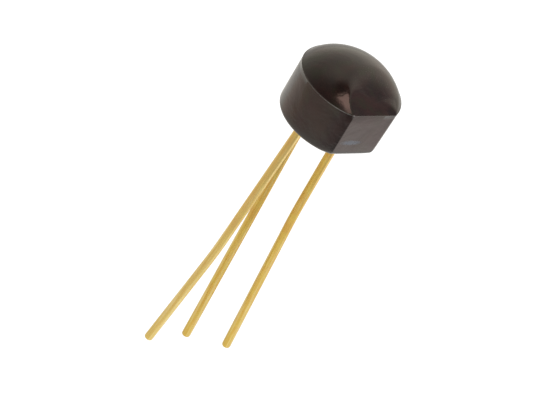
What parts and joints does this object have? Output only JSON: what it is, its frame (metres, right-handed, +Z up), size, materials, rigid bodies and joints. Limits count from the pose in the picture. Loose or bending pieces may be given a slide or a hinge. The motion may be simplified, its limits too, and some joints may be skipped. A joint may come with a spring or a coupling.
{
  "type": "transistor",
  "caption": "Small through-hole transistor: a dark brown domed epoxy body with a flat side, on slim gold-plated wire leads for soldering into a circuit board.",
  "frame": {"origin": "on the body's axis, in the plane of its underside, where it seats on a board", "axes": "+Z up through the dome, with the leads hanging down along -Z; the flat faces -Y; +X runs along the flat, from the emitter lead's side to the base lead's side"},
  "size_m": [0.0052, 0.0048, 0.0181],
  "materials": {
    "epoxy": "glossy moulded epoxy, dark brown",
    "gold_plate": "satin gold plating on drawn wire",
    "silicon": "polished silicon",
    "gold_wire": "bright gold wire"
  },
  "bodies": {
    "root": {"epoxy_body": "epoxy", "emitter_lead": "gold_plate", "collector_lead": "gold_plate", "base_lead": "gold_plate", "silicon_die": "silicon", "emitter_bond_wire": "gold_wire", "base_bond_wire": "gold_wire"}
  },
  "joints": []
}
